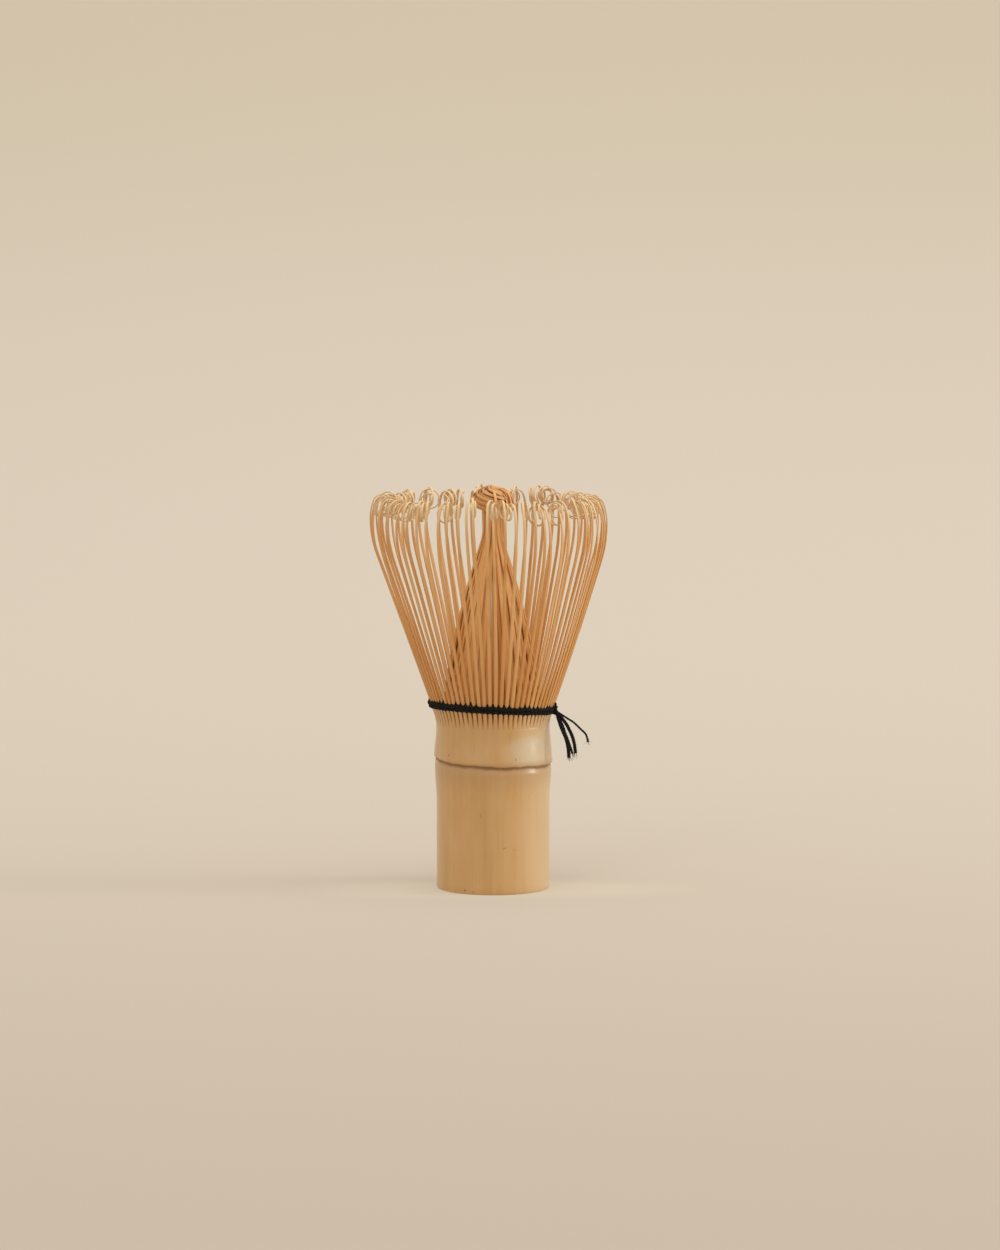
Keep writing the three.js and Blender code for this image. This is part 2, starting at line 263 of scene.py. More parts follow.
def culm_skin():
    """Dried bamboo skin: straight fine fibres, faint mottling, specks and the brown scar. Light is painted
    in too: a paler sheen on the right side, a highlight on the neck, and shade under the lip, in the slits
    and inside the hollow and cup.
    """
    finish = Finish("bamboo_skin", specular_ior_level=0.4, coat_roughness=0.23)
    place = finish.place()
    fibres = finish.noise(finish.scaled(place, (1, 1, 0.012)), 2600, 3, 0.6)
    bands = finish.noise(finish.scaled(place, (1, 1, 0.05)), 420, 3, 0.55)
    clouds = finish.noise(finish.scaled(place, (1, 1, 0.6)), 95, 3, 0.5)
    specks = finish.noise(finish.scaled(place, (1, 1, 0.45)), 760, 2, 0.7).rise(0.71, 0.79)
    uneven = finish.noise(finish.scaled(place, (1, 1, 0.5)), 430, 3, 0.6)
    scar = finish.attribute("scar")
    depth = finish.attribute("depth")
    colour = finish.mixed(bands.rise(0.3, 0.75), shade(0.66, 0.380, 0.138), shade(0.61, 0.330, 0.106))
    colour = finish.mixed(clouds.rise(0.4, 0.75) * 0.6, colour, shade(0.70, 0.425, 0.175))
    colour = finish.mixed(fibres.rise(0.5, 0.8) * 0.26, colour, shade(0.47, 0.235, 0.075))
    # Painted sheen: the right side is painted paler and less saturated, as the light from the right reflects
    # on it.
    painted_side_sheen = (finish.axis(0) * 1000).rise(3.0, 14.5)
    colour = finish.mixed(painted_side_sheen * 0.6, colour, shade(0.735, 0.545, 0.315))
    # Painted highlight: the neck is painted paler where the light from the right reflects on it.
    painted_highlight = finish.mark(place, *NECK_PAINTED_HIGHLIGHT, uneven * 0.5)
    colour = finish.mixed(painted_highlight * 0.5, colour, shade(0.70, 0.62, 0.45))
    colour = finish.mixed(specks * 0.45, colour, shade(0.24, 0.11, 0.04))
    for at, size, strength in SKIN_MARKS:
        mark = finish.mark(place, at, size, uneven)
        colour = finish.mixed(mark * strength, colour, shade(0.20, 0.085, 0.03))
    seat = finish.angle_round() * (TINE_COUNT / TAU)
    slit = abs(seat.math("FRACT", seat) - 0.5) * 2
    height = finish.height() * 1000
    ragged = finish.noise(finish.joined(seat.math("ROUND", seat) * 3.7, 0.0, 0.0), 1.0, 0) * 3.0
    opening = (height - 40.3 - ragged).rise(0.0, 2.6) * (height - 38).rise(0.0, 1.0)
    # The splits from about 40.3 mm up are painted dark: painted shade inside the slits. The same mask cuts
    # them into the bump and takes the coat off them.
    shaded_slit = slit.rise(1 - opening * 0.45, 1 - opening * 0.2) * opening
    colour = finish.mixed(shaded_slit * 0.8, colour, shade(0.46, 0.15, 0.02))
    grime = (scar * (0.35 + uneven * 1.1)).rise(0.2, 0.95)
    colour = finish.mixed(grime * 0.74, colour, shade(0.19, 0.090, 0.036))
    # Painted shade under the lip of the node: darker from about 25.4 mm up to the scar.
    painted_lip_shade = (height - 25.4).rise(0.0, 5.4) * (1 - (height - 33.2).rise(0.0, 1.2))
    colour = finish.mixed(painted_lip_shade * 0.32, colour, shade(0.40, 0.205, 0.08))
    # Painted shade inside the hollow and the cup; the same mask makes them matt.
    colour = finish.mixed(depth, colour, shade(0.36, 0.19, 0.075))
    relief = fibres * 0.35 + bands * 0.4 + clouds * 0.25 - shaded_slit * 2
    return finish.wear(
        base_color=colour,
        roughness=0.40 + fibres * 0.14 + grime * 0.2,
        coat_weight=0.78 - grime * 0.6 - depth * 0.75 - shaded_slit * 0.7,
        normal=finish.bump(relief, 0.00012, 0.35),
    )


def shaved_bamboo(name, light, middle, dark, spread, deep_foot, pale_tips):
    """A shaved splint: long fibres that run along it, each splint of its own tone."""
    finish = Finish(name, specular_ior_level=0.4)
    tone = finish.attribute("tone")
    across = finish.attribute("across")
    along = finish.attribute("along")
    seat = finish.joined(across * 3.0 + tone * 40.0, along * 0.045, tone * 17.0)
    fibres = finish.noise(seat, 4.0, 3, 0.65)
    blotches = finish.noise(finish.joined(tone * 31.0, along * 0.09, tone * 5.0), 1.0, 2, 0.5)
    colour = finish.mixed(tone.rise(0.15, 0.95), light, middle)
    colour = finish.mixed(tone.rise(0.55, 1.0) * spread, colour, dark)
    colour = finish.mixed(blotches.rise(0.45, 0.8) * 0.5, colour, dark)
    colour = finish.mixed(fibres.rise(0.5, 0.78) * 0.35, colour, dark)
    colour = finish.mixed((1 - along.rise(6.0, 34.0)) * deep_foot, colour, dark)
    colour = finish.mixed(along.rise(48.0, 64.0) * pale_tips, colour, shade(0.87, 0.69, 0.41))
    edge = abs(across).rise(0.34, 0.52)
    colour = finish.mixed(edge * 0.35, colour, dark)
    return finish.wear(
        base_color=colour,
        roughness=0.42 + fibres * 0.2,
        normal=finish.bump(fibres, 0.00006, 0.5),
    )


def black_cotton():
    """Twisted black cotton: matt, with paler lint fibres that are also a painted glint, a little brown where
    fibres catch the light.
    """
    finish = Finish("black_cotton", sheen_weight=0.05, sheen_roughness=0.5, specular_ior_level=0.12)
    place = finish.place()
    lint_and_glint = finish.noise(place, 5200, 3, 0.7)
    patches = finish.noise(place, 420, 2, 0.5)
    # The paler fibres are partly lint and partly a painted glint where fibres catch the light.
    colour = finish.mixed(lint_and_glint.rise(0.45, 0.8), shade(0.007, 0.006, 0.005), shade(0.042, 0.033, 0.025))
    colour = finish.mixed(patches.rise(0.5, 0.8) * 0.3, colour, shade(0.026, 0.020, 0.015))
    return finish.wear(
        base_color=colour,
        roughness=0.8 + lint_and_glint * 0.15,
        normal=finish.bump(lint_and_glint, 0.00008, 0.7),
    )


def pale_paper():
    """The plain seamless paper that the whisk stands on. It glows of its own: painted light that keeps the
    shadows on it faint, dimmer towards the camera and brighter round the foot.
    """
    finish = Finish("pale_paper", roughness=0.92, specular_ior_level=0.1, emission_strength=1.0)
    grain = finish.noise(finish.place(), 900, 2, 0.5)
    colour = finish.mixed(grain * 0.12, shade(0.415, 0.367, 0.300), shade(0.400, 0.350, 0.285))
    # Painted light: the paper's own glow, which fades towards the camera and takes another tint up the wall.
    nearer = (finish.axis(1) * -1).rise(-0.5, 0.42)
    glow = finish.mixed(nearer, shade(0.296, 0.257, 0.210), shade(0.226, 0.180, 0.137))
    glow = finish.mixed(finish.height().rise(0.04, 0.26), glow, shade(0.255, 0.211, 0.143))
    # A painted pool of light round the foot, which lightens the contact shadow there.
    side = finish.axis(0) * (1 / FOOT_PAINTED_LIGHT["wide"])
    ahead = (finish.axis(1) + FOOT_PAINTED_LIGHT["forward"]) * (1 / FOOT_PAINTED_LIGHT["deep"])
    off = side.math("SQRT", side * side + ahead * ahead)
    glow = finish.mixed(1 - off.rise(0.4, 1.0), glow, shade(0.318, 0.273, 0.206))
    return finish.wear(base_color=colour, emission_color=glow)


# ---- splints and strands ----

class Walker:
    """Walks a splint's middle line and marks its places: the point, its side and its outer face."""

    def __init__(self, at, ahead, side):
        self.at = Vector(at)
        self.ahead = Vector(ahead)
        self.side = Vector(side)
        self.places = []
        self.mark()

    def mark(self):
        self.places.append((self.at.copy(), self.side.copy(), self.side.cross(self.ahead)))

    def turn(self, axis, angle):
        spin = Quaternion(axis, angle)
        self.ahead = (spin @ self.ahead).normalized()
        self.side = (spin @ self.side).normalized()

    def bend(self, curl, slip):
        self.turn(self.side, -curl)
        self.turn(self.side.cross(self.ahead), slip)

    def walk(self, length, steps, curl=0.0, slip=0.0, roll=0.0, shift=0.0):
        """Goes on by length, and meanwhile curls inwards, slips sideways and rolls by these angles."""
        for _ in range(steps):
            self.bend(curl / steps / 2, slip / steps / 2)
            self.at = self.at + self.ahead * (length / steps) + self.side * (shift / steps)
            self.bend(curl / steps / 2, slip / steps / 2)
            self.turn(self.ahead, roll / steps)
            self.mark()
        return self


def around(angle, radius, z):
    return Vector((radius * math.cos(angle), radius * math.sin(angle), z))


def tangent(angle):
    return Vector((-math.sin(angle), math.cos(angle), 0))


def ease(value, low, high):
    share = min(1.0, max(0.0, (value - low) / (high - low)))
    return share * share * (3 - 2 * share)


def start_mesh():
    """An empty bmesh with the layers that the finishes read."""
    mesh = bmesh.new()
    for name in ("along", "across", "tone", "scar", "depth"):
        mesh.verts.layers.float.new(name)
    return mesh


def cut_bar(mesh, rings):
    """Cuts an upright bar of height 1 across into equal lengths, and gives all its parts."""
    bmesh.ops.subdivide_edges(mesh, edges=long_edges(mesh), cuts=rings - 2)
    return mesh.verts[:] + mesh.edges[:] + mesh.faces[:]


def long_edges(mesh):
    return [e for e in mesh.edges if abs(e.verts[0].co.z - e.verts[1].co.z) > 0.5]


def splint_blank(mesh, rings):
    """A square bar of side 1 with softened edges, in an empty bmesh."""
    bmesh.ops.create_cube(mesh, size=1.0, matrix=Matrix.Translation((0, 0, 0.5)))
    bmesh.ops.bevel(
        mesh, geom=long_edges(mesh), offset=0.2, segments=1, profile=0.5, affect="EDGES", material=-1)
    return cut_bar(mesh, rings)


def strand_blank(mesh, rings, sides=6):
    """A round bar of diameter 1, in an empty bmesh."""
    bmesh.ops.create_cone(
        mesh, cap_ends=True, segments=sides, radius1=0.5, radius2=0.5, depth=1.0,
        matrix=Matrix.Translation((0, 0, 0.5)))
    return cut_bar(mesh, rings)


def pour(part, mesh):
    """Moves everything in one bmesh into another."""
    data = bpy.data.meshes.new("part")
    part.to_mesh(data)
    part.free()
    mesh.from_mesh(data)
    bpy.data.meshes.remove(data)


def lay(mesh, blank, places, width, thickness, tone=0.5, start=0.0, slot=0):
    """Lays a copy of a blank along places. Width and thickness are functions of the share run."""
    copy = bmesh.ops.duplicate(mesh, geom=blank)["geom"]
    layers = mesh.verts.layers.float
    last = len(places) - 1
    runs = [start]
    for (here, _, _), (there, _, _) in zip(places, places[1:]):
        runs.append(runs[-1] + (there - here).length)
    for part in copy:
        if isinstance(part, bmesh.types.BMFace):
            part.material_index = slot
        if not isinstance(part, bmesh.types.BMVert):
            continue
        ring = round(part.co.z * last)
        at, side, out = places[ring]
        share = ring / last
        part[layers["along"]] = runs[ring]
        part[layers["across"]] = part.co.x
        part[layers["tone"]] = tone
        reach = side * (part.co.x * width(share)) + out * (part.co.y * thickness(share))
        part.co = MM * (at + reach)


def drop(mesh, blank):
    bmesh.ops.delete(mesh, geom=[part for part in blank if isinstance(part, bmesh.types.BMVert)])


def finish_piece(name, mesh, materials):
    """Makes the object: smooth faces, with the edges that turn sharply kept crisp."""
    for face in mesh.faces:
        face.smooth = True
    for edge in mesh.edges:
        edge.smooth = edge.calc_face_angle(0.0) < math.radians(42)
    data = bpy.data.meshes.new(name)
    mesh.to_mesh(data)
    mesh.free()
    for material in materials:
        data.materials.append(material)
    piece = bpy.data.objects.new(name, data)
    bpy.context.scene.collection.objects.link(piece)
    return piece


def carried(points, side=None):
    """Places along a line of points, with a side that turns no more than it must."""
    places = []
    for i, point in enumerate(points):
        ahead = (points[min(i + 1, len(points) - 1)] - points[max(i - 1, 0)]).normalized()
        if side is None:
            side = ahead.orthogonal().normalized()
        side = (side - ahead * side.dot(ahead)).normalized()
        places.append((point, side, side.cross(ahead)))
    return places


def twisted(mesh, points, radius, pitch=1.5, plies=2, sides=6):
    """A cotton strand: plies that wind round a line of points."""
    part = start_mesh()
    blank = strand_blank(part, len(points), sides)
    places = carried(points)
    run = 0.0
    turns = [0.0]
    for here, there in zip(points, points[1:]):
        run += (there - here).length
        turns.append(run / pitch * TAU)
    for ply in range(plies):
        winding = []
        for (at, side, out), turn in zip(places, turns):
            angle = turn + ply * TAU / plies
            winding.append(at + (side * math.cos(angle) + out * math.sin(angle)) * radius * 0.46)
        lay(part, blank, carried(winding), lambda _: radius * 1.16, lambda _: radius * 1.16)
    drop(part, blank)
    pour(part, mesh)


# ---- the culm ----

def neck_flare(z):
    """How far the split ring's outer face has left the upright neck at a height."""
    bend = ROOT_BEND / FLARE
    rise = bend * math.sin(FLARE)
    if z <= ROOT_Z:
        return 0.0
    if z <= ROOT_Z + rise:
        return bend - math.sqrt(bend * bend - (z - ROOT_Z) ** 2)
    return bend * (1 - math.cos(FLARE)) + (z - ROOT_Z - rise) * math.tan(FLARE)


def culm_radius(z):
    """The outside of the culm: straight handle, swollen node with its scar and lip, neck."""
    radius = HANDLE_RADIUS + (BULGE_RADIUS - HANDLE_RADIUS) * ease(z, 23.0, 30.5)
    radius -= 0.2 * ease(z, 31.1, SCAR_Z - 0.2)
    lip = LIP_RADIUS - (LIP_RADIUS - NECK_RADIUS) * ease(z, SCAR_Z + 0.5, 41.0)
    radius += (lip - radius) * ease(z, SCAR_Z - 0.05, SCAR_Z + 0.38)
    radius -= 0.18 * math.exp(-(((z - SCAR_Z) / 0.25) ** 2))
    return radius + neck_flare(z) - 0.6 * ease(z, 42.6, WALL_TOP)


def culm_heights():
    heights = [0.4 + 1.4 * i for i in range(22)]
    heights += [31.0 + 0.13 * i for i in range(33)]
    heights += [35.6 + 0.55 * i for i in range(14)]
    return heights + [42.9, 43.15, WALL_TOP]


def culm_outline():
    """From the axis under the diaphragm, round the hollow, the foot, the outside and the cup."""
    outline = [(0.0, 30.5), (4.0, 30.5), (7.5, 30.2), (9.6, 29.4), (10.5, 27.8)]
    outline += [(HOLLOW_RADIUS, 25.0 - 24.2 * i / 8) for i in range(9)]
    outline += [(11.0, 0.25), (11.3, 0.0), (12.6, 0.0), (14.05, 0.0), (14.32, 0.12)]
    outline += [(culm_radius(z), z) for z in culm_heights()]
    outline += [(13.4, WALL_TOP + 0.1), (CUP_RADIUS, WALL_TOP), (CUP_RADIUS - 0.2, 40.0)]
    outline += [(11.7, 37.0), (10.8, 34.6), (8.5, 33.5), (4.0, 33.2), (0.0, 33.2)]
    return outline


def scar_lift(angle):
    """The scar isn't level: it leans, and it wavers a little."""
    lean = -0.22 - 0.95 * math.cos(angle) - 0.4 * math.sin(2 * angle - 0.6)
    waver = 0.10 * math.sin(3 * angle + 0.7) + 0.07 * math.sin(7 * angle + 2.1)
    return lean + waver + 0.035 * math.sin(19 * angle) + 0.03 * math.sin(31 * angle + 1.0)


def season_culm(mesh):
    """Takes the turned culm out of true, as a grown stem is, and marks the scar."""
    scar = mesh.verts.layers.float["scar"]
    depth = mesh.verts.layers.float["depth"]
    for vert in mesh.verts:
        radius = math.hypot(vert.co.x, vert.co.y)
        angle = math.atan2(vert.co.y, vert.co.x)
        z = vert.co.z
        # Inside the culm and at the top of its wall the depth mask is set, which paints shade into these
        # recesses, less of it low in the hollow.
        if radius < HOLLOW_RADIUS + 2.4 or z > 43.0:
            vert[depth] = 0.35 if z < 32 else 1.0
            continue
        off = (z - SCAR_Z) / 0.7
        vert[scar] = math.exp(-off * off)
        near = math.exp(-(((z - SCAR_Z) / 3.2) ** 2))
        oval = 0.10 * math.cos(2 * angle + 0.6) + 0.05 * math.cos(3 * angle - 1.1)
        swell = near * (0.05 * math.sin(5 * angle + 0.4) + 0.04 * math.sin(9 * angle))
        scale = 1 + (oval * (1 - ease(z, 38, 42)) + swell) / radius
        vert.co.x *= scale
        vert.co.y *= scale
        vert.co.z += near * scar_lift(angle)


def turned(mesh, outline, steps):
    """Spins an outline round the axis into a closed skin."""
    verts = [mesh.verts.new((radius, 0, z)) for radius, z in outline]
    edges = [mesh.edges.new(pair) for pair in zip(verts, verts[1:])]
    bmesh.ops.spin(
        mesh, geom=verts + edges, cent=(0, 0, 0), axis=(0, 0, 1), angle=TAU, steps=steps, use_merge=True)
    bmesh.ops.remove_doubles(mesh, verts=mesh.verts, dist=0.001)
    bmesh.ops.recalc_face_normals(mesh, faces=mesh.faces)


def thread_height(angle):
    """Where the thread's rows cross the tines on this side."""
    lean = THREAD_TILT[0] * math.cos(angle) + THREAD_TILT[1] * math.sin(angle)
    return THREAD_Z + NECK_RADIUS * lean


def core_root_width(share):
    return 1.12 - 0.3 * share


def make_culm(skin, shaved):
    mesh = start_mesh()
    turned(mesh, culm_outline(), 216)
    season_culm(mesh)
    bmesh.ops.scale(mesh, vec=(MM, MM, MM), verts=mesh.verts)
    roots = start_mesh()
    blank = splint_blank(roots, ROOT_RINGS)
    for tine in OUTER_TINES:
        lay(roots, blank, tine["root"], tine["root_width"], lambda _: OUTER_ROOT_THICK, tine["tone"])
    for tine in CORE_TINES:
        lay(roots, blank, tine["root"], core_root_width, lambda _: CORE_ROOT["thick"], tine["tone"], slot=1)
    drop(roots, blank)
    pour(roots, mesh)
    culm = finish_piece("culm_skin", mesh, [skin, shaved])
    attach(culm, "handle")
    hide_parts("culm")


# ---- the outer tines ----

ROOT_RINGS = 14
OUTER_RINGS = 77


def outer_width(share):
    """Full and broad at the foot, slim at the shoulder, fine at the tip."""
    return 0.92 - 0.32 * ease(share, 0.0, 0.5) - 0.1 * ease(share, 0.6, 1.0)


def outer_thickness(share):
    return 0.52 - 0.2 * ease(share, 0.0, 0.45) - 0.04 * ease(share, 0.6, 0.8)


def grow_outer_tine(number, draw):
    """One outer tine from its root in the neck to the end of its curl."""
    angle = (number + 0.5) * PITCH
    band = thread_height(angle)
    walker = Walker(around(angle, NECK_RADIUS - 0.31, ROOT_Z), (0, 0, 1), tangent(angle))
    bend_rise = ROOT_BEND / FLARE * math.sin(FLARE)
    walker.walk(ROOT_BEND, 8, curl=-FLARE)
    for place in walker.places:
        place[0].xy *= 1 + (-0.06 + 0.1 * ease(place[0].z, ROOT_Z, 43.4)) / NECK_RADIUS
    walker.at = walker.places[-1][0].copy()
    walker.walk((band - ROOT_Z - bend_rise) / math.cos(FLARE), ROOT_RINGS - 9)
    root = walker.places[:]
    walker.places = root[-1:]

    drift = math.radians(draw.gauss(0, 0.95))
    bow = math.radians(draw.gauss(1.2, 0.6))
    shoulder = draw.uniform(24, 31)
    lean = math.radians(draw.uniform(18, 30))
    reach = draw.uniform(4.6, 6.4)
    loop = draw.uniform(2.05, 2.55)
    tip_rise = shoulder * math.sin(FLARE) + reach / lean * math.sin(lean) + loop * (1 - math.sin(lean))
    top = LOOP_TOP - 0.9 * abs(math.cos(angle)) + draw.gauss(0, 0.4) - tip_rise
    walker.walk((50.5 - band) / math.cos(FLARE), 3)
    walker.walk((top - 50.5) / math.cos(FLARE), 15, curl=bow, slip=drift)
    walker.walk(shoulder * (FLARE + bow), 7, curl=FLARE - bow)
    away = 30.0 * math.cos(angle) - PARTING_X
    near = math.exp(-((away / 4.0) ** 2))
    walker.walk(reach, 5, curl=lean, roll=math.radians(draw.gauss(0, 24)) * (1 - near))
    side = draw.choice((-1, 1)) * draw.uniform(0.5, 1.5)
    if near > 0.3:
        side = -math.copysign(draw.uniform(0.5, 0.9), away * math.sin(angle))
    walker.walk(loop * math.radians(260), 26, curl=math.radians(260), shift=side)
    rest = math.radians(draw.uniform(150, 400))
    walker.walk(loop * 0.84 * rest, 20, curl=rest, shift=side * 0.5)
    return {
        "root": root,
        "root_width": lambda share: NECK_RADIUS * PITCH * 1.06 - 0.42 * ease(share, 0.1, 1.0),
        "places": walker.places,
        "tone": draw.random(),
        "angle": angle,
    }


def settle(tine):
    """The head of tines stands a touch to one side of the handle, with a parting left of its middle."""
    shift = NEAR_SHIFT if math.sin(tine["angle"]) < 0 else FAR_SHIFT
    away = (30.0 * math.cos(tine["angle"]) - shift["middle"]) / shift["reach"]
    push = shift["push"] * math.exp(-away * away)
    for at, _, _ in tine["places"][1:]:
        at.x += LEAN_LEFT * ease(at.z, LEAN_FROM, LEAN_TO) + push * ease(at.z, LEAN_FROM, CORE_NECK_Z)


def make_outer_tines(material):
    for index, joint in enumerate(FLEX_JOINTS):
        mesh = start_mesh()
        blank = splint_blank(mesh, OUTER_RINGS)
        centre = index * TAU / len(FLEX_JOINTS)
        for tine in OUTER_TINES:
            away = (tine["angle"] - centre + math.pi) % TAU - math.pi
            if abs(away) < PITCH * TINES_PER_GROUP / 2:
                lay(mesh, blank, tine["places"], outer_width, outer_thickness, tine["tone"], 4.0)
        drop(mesh, blank)
        piece = finish_piece(f"outer_splints_{index + 1:02d}", mesh, [material])
        foot = around(centre, 16.65, 0.0)
        start = (foot + Vector((0, 0, FLEX_Z - 1.6))) * MM
        end = (foot + Vector((0, 0, FLEX_Z + 13.0))) * MM
        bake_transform(piece, "handle", joint["child"], start=start, end=end)
        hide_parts(joint["child"])


# ---- the core ----

CORE_RINGS = 49
TIP_RINGS = 40


def grow_core_tine(number, draw):
    """One inner tine: up the inside of the neck, in along the bowed cone and up its top."""
    angle = (number + 0.5) * PITCH
    band = thread_height(angle)
    level = draw.random()
    neck = 2.45 - 1.7 * level
    lean = math.atan2(CORE_ROOT["radius"] - neck, CORE_NECK_Z - 45.0)
    belly = math.radians(draw.uniform(5.5, 9.0) - 2.5 * level)
    walker = Walker(around(angle, CORE_ROOT["radius"], CORE_ROOT["z"]), (0, 0, 1), tangent(angle))
    walker.walk(2.4, 7, curl=lean - belly)
    walker.walk((band - walker.at.z) / math.cos(lean), ROOT_RINGS - 8)
    root = walker.places[:]
    walker.places = root[-1:]
    sway = math.radians(draw.gauss(0, 0.8))
    length = (CORE_NECK_Z - 3.5 - band) / math.cos(lean)
    walker.walk(length / 2, 18, curl=belly, slip=sway)
    walker.walk(length / 2, 18, curl=belly, slip=-sway)
    walker.walk(6.0, 8, curl=-lean - belly)
    walker.walk(draw.uniform(96.2, 97.4) - walker.at.z, 4)
    tine = {"root": root, "places": walker.places, "tone": draw.random(), "angle": angle}
    tine["tip"] = hanging_tip(walker, angle, draw) or coiled_tip(walker, angle, draw)
    return tine


def hanging_tip(walker, angle, draw):
    """Some tips bend right over the top of the bun and hang down on its right side."""
    towards = math.radians(draw.gauss(-25, 30))
    roll = (towards - angle) % TAU - math.pi
    if abs(roll) > math.radians(70) or draw.random() > 0.75:
        return None
    hook = Walker(walker.at, walker.ahead, walker.side)
    size = draw.uniform(2.5, 3.3)
    hook.walk(103.3 - size - draw.random() - walker.at.z, 8, roll=roll)
    hook.walk(size * math.radians(165), 20, curl=math.radians(165))
    hook.walk(draw.uniform(1.5, 4.0), TIP_RINGS - 29, curl=math.radians(draw.uniform(10, 45)))
    return hook.places


def coiled_tip(walker, angle, draw):
    """Most tips swing outwards at the neck and then wind up round the bun to its top."""
    size = draw.uniform(0.6, 1.04)
    centre = Vector((draw.gauss(-0.35, 0.25), draw.gauss(0, 0.25), 0))
    wind = math.radians(draw.uniform(170, 290))
    start = Vector((walker.at.x, walker.at.y, 0)).length
    points = []
    for i in range(TIP_RINGS):
        share = i / (TIP_RINGS - 1)
        climb = math.radians(84) * max(0.0, share - 0.28) / 0.72
        radius = 4.75 * size * math.cos(climb)
        height = 98.7 + 4.9 * size * math.sin(climb)
        if share < 0.28:
            out = ease(share, 0.0, 0.28)
            radius = start + (radius - start) * out
            height = walker.at.z + (height - walker.at.z) * share / 0.28
        round_to = angle - wind * ease(share, 0.0, 1.0)
        points.append(around(round_to, radius, height) + centre * ease(share, 0.0, 0.3))
    points[0] = walker.at.copy()
    return carried(points, walker.side)


def core_width(share):
    return 1.0 - 0.24 * ease(share, 0.1, 0.8)


def core_thickness(share):
    return 0.6 - 0.25 * ease(share, 0.0, 0.7)


def make_core(material):
    for comb in range(CORE_COMBS):
        mesh = start_mesh()
        blank = splint_blank(mesh, CORE_RINGS)
        centre = comb * TAU / CORE_COMBS
        for tine in CORE_TINES:
            away = (tine["angle"] - centre + math.pi) % TAU - math.pi
            if abs(away) < PITCH * TINES_PER_COMB / 2:
                lay(mesh, blank, tine["places"], core_width, core_thickness, tine["tone"], 4.0)
        drop(mesh, blank)
        piece = finish_piece(f"core_splints_{comb + 1:02d}", mesh, [material])
        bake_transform(piece, "handle", "core", start=(0, 0, 48.0 * MM), end=(0, 0, 62.0 * MM))
        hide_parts(f"inner_tines_{comb + 1:02d}")
    mesh = start_mesh()
    blank = splint_blank(mesh, TIP_RINGS)
    for tine in CORE_TINES:
        lay(mesh, blank, tine["tip"], lambda share: 0.76 - 0.14 * share, lambda share: 0.35 - 0.1 * share,
            tine["tone"], 58.0)
    drop(mesh, blank)
    swirl = finish_piece("core_tips", mesh, [material])
    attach(swirl, "core")
    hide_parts("core_swirl")


# ---- the thread ----

def row_points(lift, stand_off, press, count=900):
    """One turn round the tines from the knot back to it, pressed in between them."""
    points = []
    for i in range(count):
        angle = KNOT_ANGLE + TAU * i / (count - 1)
        over = 0.5 + 0.5 * math.cos((angle / PITCH - 0.5) * TAU)
        z = thread_height(angle) + lift + 0.11 * math.sin(11 * angle + lift) + 0.08 * math.sin(23 * angle)
        radius = NECK_RADIUS + neck_flare(z) + stand_off - press * (1 - over)
        points.append(around(angle, radius, z))
    return points


def tuck_points(lift, reach, count=1800):
    """The turn that dips between each pair of tines and shows as a row of small points."""
    points = []
    for i in range(count):
        angle = KNOT_ANGLE + TAU * i / (count - 1)
        gap = (0.5 - 0.5 * math.cos((angle / PITCH - 0.5) * TAU)) ** 3
        uneven = 1 + 0.8 * math.sin(5 * angle + 1) * math.sin(17 * angle)
        z = thread_height(angle) + lift + reach * gap * uneven
        radius = NECK_RADIUS + neck_flare(z) + 0.28 - 0.62 * gap
        points.append(around(angle, radius, z))
    return points


def make_rows(cotton):
    rows = {
        "thread_lower_turn": ([row_points(-0.45, 0.3, 0.16)], []),
        "thread_upper_turn": (
            [row_points(0.35, 0.34, 0.16)],
            [tuck_points(0.5, 0.75), tuck_points(-0.75, -0.3)],
        ),
    }
    for node, (plain, tucked) in rows.items():
        mesh = start_mesh()
        for points in plain:
            twisted(mesh, points, 0.46, 1.7)
        for points in tucked:
            twisted(mesh, points, 0.25, 1.2, sides=5)
        piece = finish_piece(node.replace("turn", "row"), mesh, [cotton])
        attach(piece, "handle")
        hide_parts(node)
    mesh = start_mesh()
    points = [around(KNOT_ANGLE + TAU * i / 599, 14.25, 47.3) for i in range(600)]
    twisted(mesh, points, 0.42, 1.7)
    piece = finish_piece("thread_inner_row", mesh, [cotton])
    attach(piece, "handle")
    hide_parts("thread_inner_turn")


def smooth_route(points, steps):
    """A smooth line through points, a few steps from each to the next."""
    points = [Vector(point) for point in points]
    points = [2 * points[0] - points[1]] + points + [2 * points[-1] - points[-2]]
    line = []
    for a, b, c, d in zip(points, points[1:], points[2:], points[3:]):
        for i in range(steps):
            t = i / steps
            bend = (2 * a - 5 * b + 4 * c - d) * t * t + (3 * b - a - 3 * c + d) * t ** 3
            line.append(0.5 * (2 * b + (c - a) * t + bend))
    return line + [points[-2]]


def fibre_width(share):
    return 0.09 - 0.05 * share


def fray(mesh, at, ahead, draw, count, length):
    """Loose fibres that spread from a strand's end."""
    part = start_mesh()
    blank = strand_blank(part, 5, 3)
    for _ in range(count):
        spread = Vector((draw.gauss(0, 1), draw.gauss(0, 1), draw.gauss(0, 1))) * 0.42
        bend = Vector((draw.gauss(0, 1), draw.gauss(0, 1), draw.gauss(0, 1))) * 0.3
        reach = length * draw.uniform(0.5, 1.1)
        foot = at + spread * 0.3
        steps = [i / 4 for i in range(5)]
        points = [foot + (ahead + spread * t + bend * t * t) * reach * t for t in steps]
        lay(part, blank, carried(points), fibre_width, fibre_width)
    drop(part, blank)
    pour(part, mesh)


